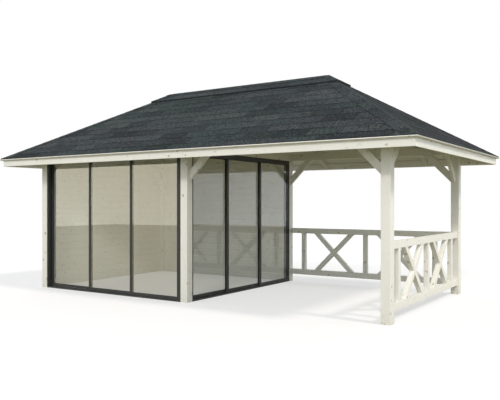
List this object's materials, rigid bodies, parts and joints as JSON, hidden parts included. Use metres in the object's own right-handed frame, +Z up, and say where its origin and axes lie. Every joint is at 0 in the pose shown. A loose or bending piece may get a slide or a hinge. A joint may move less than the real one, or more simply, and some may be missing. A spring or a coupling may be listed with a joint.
{
  "type": "garden gazebo",
  "caption": "Long hip-roofed timber gazebo: part of it a boarded room with sliding glass doors to the front and to the bay, the rest an open bay with cross-braced railings.",
  "frame": {"origin": "on the ground, in the middle of the plan of the eaves", "axes": "+X along the long side from the glazed room to the open bay, +Y from the front to the back, +Z up"},
  "size_m": [6.946, 3.946, 3.2609],
  "materials": {
    "timber": "off-white glazed softwood, grain and knots showing through",
    "anthracite_frame": "anthracite powder coat, satin",
    "glass": "clear toughened glass, slightly grey",
    "shingle": "anthracite bitumen shingles with mineral granules"
  },
  "bodies": {
    "gazebo": {"front_left_post": "timber", "front_middle_post": "timber", "front_right_post": "timber", "back_left_post": "timber", "back_middle_post": "timber", "back_right_post": "timber", "long_plates": "timber", "end_plates": "timber", "middle_beam": "timber", "knee_braces": "timber", "left_wall": "timber", "back_wall": "timber", "back_railing": "timber", "right_railing": "timber", "front_door_jambs": "anthracite_frame", "front_door_track_plates": "anthracite_frame", "front_door_track_fins": "anthracite_frame", "side_door_jambs": "anthracite_frame", "side_door_track_plates": "anthracite_frame", "side_door_track_fins": "anthracite_frame", "ridge_beam": "timber", "long_side_rafters": "timber", "end_rafters": "timber", "hip_rafters": "timber", "front_roof_boards": "timber", "front_shingles": "shingle", "back_roof_boards": "timber", "back_shingles": "shingle", "left_roof_boards": "timber", "left_shingles": "shingle", "right_roof_boards": "timber", "right_shingles": "shingle", "fascia_boards": "timber", "ridge_cap": "shingle"},
    "front_door_left": {"front_door_left_frame": "anthracite_frame", "front_door_left_glass": "glass"},
    "front_door_middle": {"front_door_middle_frame": "anthracite_frame", "front_door_middle_glass": "glass"},
    "front_door_right": {"front_door_right_frame": "anthracite_frame", "front_door_right_glass": "glass"},
    "side_door_front": {"side_door_front_frame": "anthracite_frame", "side_door_front_glass": "glass"},
    "side_door_middle": {"side_door_middle_frame": "anthracite_frame", "side_door_middle_glass": "glass"},
    "side_door_back": {"side_door_back_frame": "anthracite_frame", "side_door_back_glass": "glass"}
  },
  "joints": [
    {"name": "front_door_left_slide", "type": "slide", "parent": "gazebo", "child": "front_door_left", "axis": [1, 0, 0], "range_m": [0, 1.812]},
    {"name": "front_door_middle_slide", "type": "slide", "parent": "gazebo", "child": "front_door_middle", "axis": [1, 0, 0], "range_m": [-0.906, 0.906]},
    {"name": "front_door_right_slide", "type": "slide", "parent": "gazebo", "child": "front_door_right", "axis": [1, 0, 0], "range_m": [-1.812, 0]},
    {"name": "side_door_front_slide", "type": "slide", "parent": "gazebo", "child": "side_door_front", "axis": [0, 1, 0], "range_m": [0, 1.772]},
    {"name": "side_door_middle_slide", "type": "slide", "parent": "gazebo", "child": "side_door_middle", "axis": [0, 1, 0], "range_m": [-0.886, 0.886]},
    {"name": "side_door_back_slide", "type": "slide", "parent": "gazebo", "child": "side_door_back", "axis": [0, 1, 0], "range_m": [-1.772, 0]}
  ]
}
